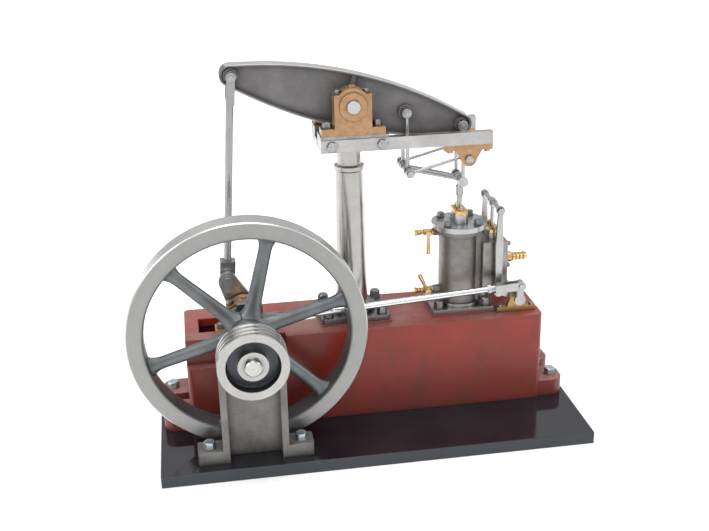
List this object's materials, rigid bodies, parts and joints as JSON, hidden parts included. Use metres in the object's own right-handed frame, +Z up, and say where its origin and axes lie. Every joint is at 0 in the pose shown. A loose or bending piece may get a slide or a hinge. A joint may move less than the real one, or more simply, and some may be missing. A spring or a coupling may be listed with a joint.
{
  "type": "model steam engine",
  "caption": "Model beam engine on a board: an upright cylinder rocks a beam on a column, and its connecting rod turns a crank, a spoked flywheel and a grooved pulley.",
  "frame": {"origin": "centre of the board's length on its underside, on the engine's middle plane", "axes": "+X along the board from the flywheel end to the cylinder end, +Y away from the flywheel side, +Z up"},
  "size_m": [0.3489, 0.1664, 0.2903],
  "materials": {
    "board_black": "gloss",
    "bed_red": "satin",
    "zinc": "satin",
    "dark_iron": "rough",
    "wheel_iron": "machined rim, cast spokes",
    "bright_steel": "polished",
    "steel": "satin",
    "beam_iron": "cast web, machined flanges",
    "bronze": "satin",
    "brass": "satin",
    "cylinder_iron": "machined"
  },
  "bodies": {
    "engine_frame": {"base_board": "board_black", "engine_bed": "bed_red", "hold_down_bolts": "zinc", "outer_stand": "dark_iron", "front_bearing": "brass", "outer_bearing": "brass", "bearing_caps": "bronze", "bearing_nuts": "steel", "column_foot": "steel", "column": "bright_steel", "column_bolts": "steel", "entablature": "steel", "front_rail": "bright_steel", "back_rail": "bright_steel", "rail_bolts": "steel", "trunnions": "bronze", "front_radius_bracket": "bronze", "back_radius_bracket": "bronze", "cylinder_base": "steel", "cylinder": "cylinder_iron", "cylinder_cover": "steel", "cylinder_bolts": "steel", "glands": "brass", "valve_chest": "cylinder_iron", "chest_cover": "cylinder_iron", "chest_studs": "steel", "steam_inlet": "brass", "drain_cocks": "brass", "front_rocker_bracket": "brass", "back_rocker_bracket": "brass"},
    "crankshaft": {"crank_shaft": "bright_steel", "crank_web": "steel", "flywheel": "wheel_iron", "belt_pulley": "bright_steel", "eccentric_sheave": "steel"},
    "rocking_beam": {"beam": "beam_iron", "beam_shaft": "bright_steel", "beam_pins": "steel"},
    "connecting_rod": {"connecting_rod": "steel", "big_end": "brass", "crank_pin": "bright_steel"},
    "main_links": {"main_links": "steel"},
    "back_links": {"back_links": "steel"},
    "radius_rods": {"radius_rods": "steel"},
    "parallel_bars": {"parallel_bars": "steel", "cross_shaft": "bright_steel"},
    "piston": {"piston": "cylinder_iron", "piston_rod": "bright_steel", "crosshead": "steel"},
    "valve_rocker": {"valve_rocker": "steel"},
    "slide_valve": {"lifting_links": "steel", "valve_spindle": "bright_steel", "slide_valve": "brass"},
    "eccentric_rod": {"eccentric_strap": "brass", "eccentric_rod": "bright_steel", "rod_fork": "steel"},
    "upper_cock": {"upper_cock_lever": "brass"},
    "lower_cock": {"lower_cock_lever": "brass"}
  },
  "joints": [
    {"name": "crank_turn", "type": "hinge", "parent": "engine_frame", "child": "crankshaft", "pos_m": [-0.09555, 0, 0.1012], "axis": [0, 1, 0], "continuous": true},
    {"name": "eccentric_pivot", "type": "hinge", "parent": "crankshaft", "child": "eccentric_rod", "pos_m": [-0.09738, -0.032, 0.09858], "axis": [0, 1, 0], "continuous": true},
    {"name": "beam_rock", "type": "hinge", "parent": "engine_frame", "child": "rocking_beam", "pos_m": [-0.0085, 0, 0.2595], "axis": [0, 1, 0], "range_deg": [-31.31, 1.88]},
    {"name": "connecting_rod_pivot", "type": "hinge", "parent": "rocking_beam", "child": "connecting_rod", "pos_m": [-0.09448, 0, 0.28208], "axis": [0, 1, 0], "range_deg": [-1.88, 31.31]},
    {"name": "main_link_pivot", "type": "hinge", "parent": "rocking_beam", "child": "main_links", "pos_m": [0.07748, 0, 0.23692], "axis": [0, 1, 0], "range_deg": [-1.88, 31.31]},
    {"name": "back_link_pivot", "type": "hinge", "parent": "rocking_beam", "child": "back_links", "pos_m": [0.03449, 0, 0.24821], "axis": [0, 1, 0], "range_deg": [-1.88, 31.31]},
    {"name": "piston_slide", "type": "slide", "parent": "engine_frame", "child": "piston", "axis": [0, 0, 1], "range_m": [-0.00289, 0.04798]},
    {"name": "parallel_bar_pivot", "type": "hinge", "parent": "piston", "child": "parallel_bars", "pos_m": [0.07855, 0, 0.19248], "axis": [0, 1, 0], "range_deg": [-31.31, 1.88]},
    {"name": "radius_rod_pivot", "type": "hinge", "parent": "engine_frame", "child": "radius_rods", "pos_m": [0.07855, 0, 0.215], "axis": [0, 1, 0], "range_deg": [-1.88, 31.31]},
    {"name": "rocker_turn", "type": "hinge", "parent": "engine_frame", "child": "valve_rocker", "pos_m": [0.12095, 0, 0.0986], "axis": [0, 1, 0], "range_deg": [-6.3, 23.2]},
    {"name": "valve_slide", "type": "slide", "parent": "engine_frame", "child": "slide_valve", "axis": [0, 0, 1], "range_m": [-0.00153, 0.00566]},
    {"name": "upper_cock_turn", "type": "hinge", "parent": "engine_frame", "child": "upper_cock", "pos_m": [0.05275, 0, 0.1495], "axis": [0, 1, 0], "range_deg": [0, 90]},
    {"name": "lower_cock_turn", "type": "hinge", "parent": "engine_frame", "child": "lower_cock", "pos_m": [0.05275, 0, 0.1001], "axis": [0, 1, 0], "range_deg": [-90, 0]}
  ],
  "couplings": [
    {"joint": "eccentric_pivot", "follows": "crank_turn", "ratio": -1},
    {"joint": "connecting_rod_pivot", "follows": "beam_rock", "ratio": -1},
    {"joint": "main_link_pivot", "follows": "beam_rock", "ratio": -1},
    {"joint": "back_link_pivot", "follows": "beam_rock", "ratio": -1},
    {"joint": "piston_slide", "follows": "beam_rock", "m_per_rad": -0.08779},
    {"joint": "parallel_bar_pivot", "follows": "beam_rock", "ratio": 1},
    {"joint": "radius_rod_pivot", "follows": "beam_rock", "ratio": -1},
    {"joint": "rocker_turn", "follows": "valve_slide", "rad_per_m": 71.429}
  ]
}
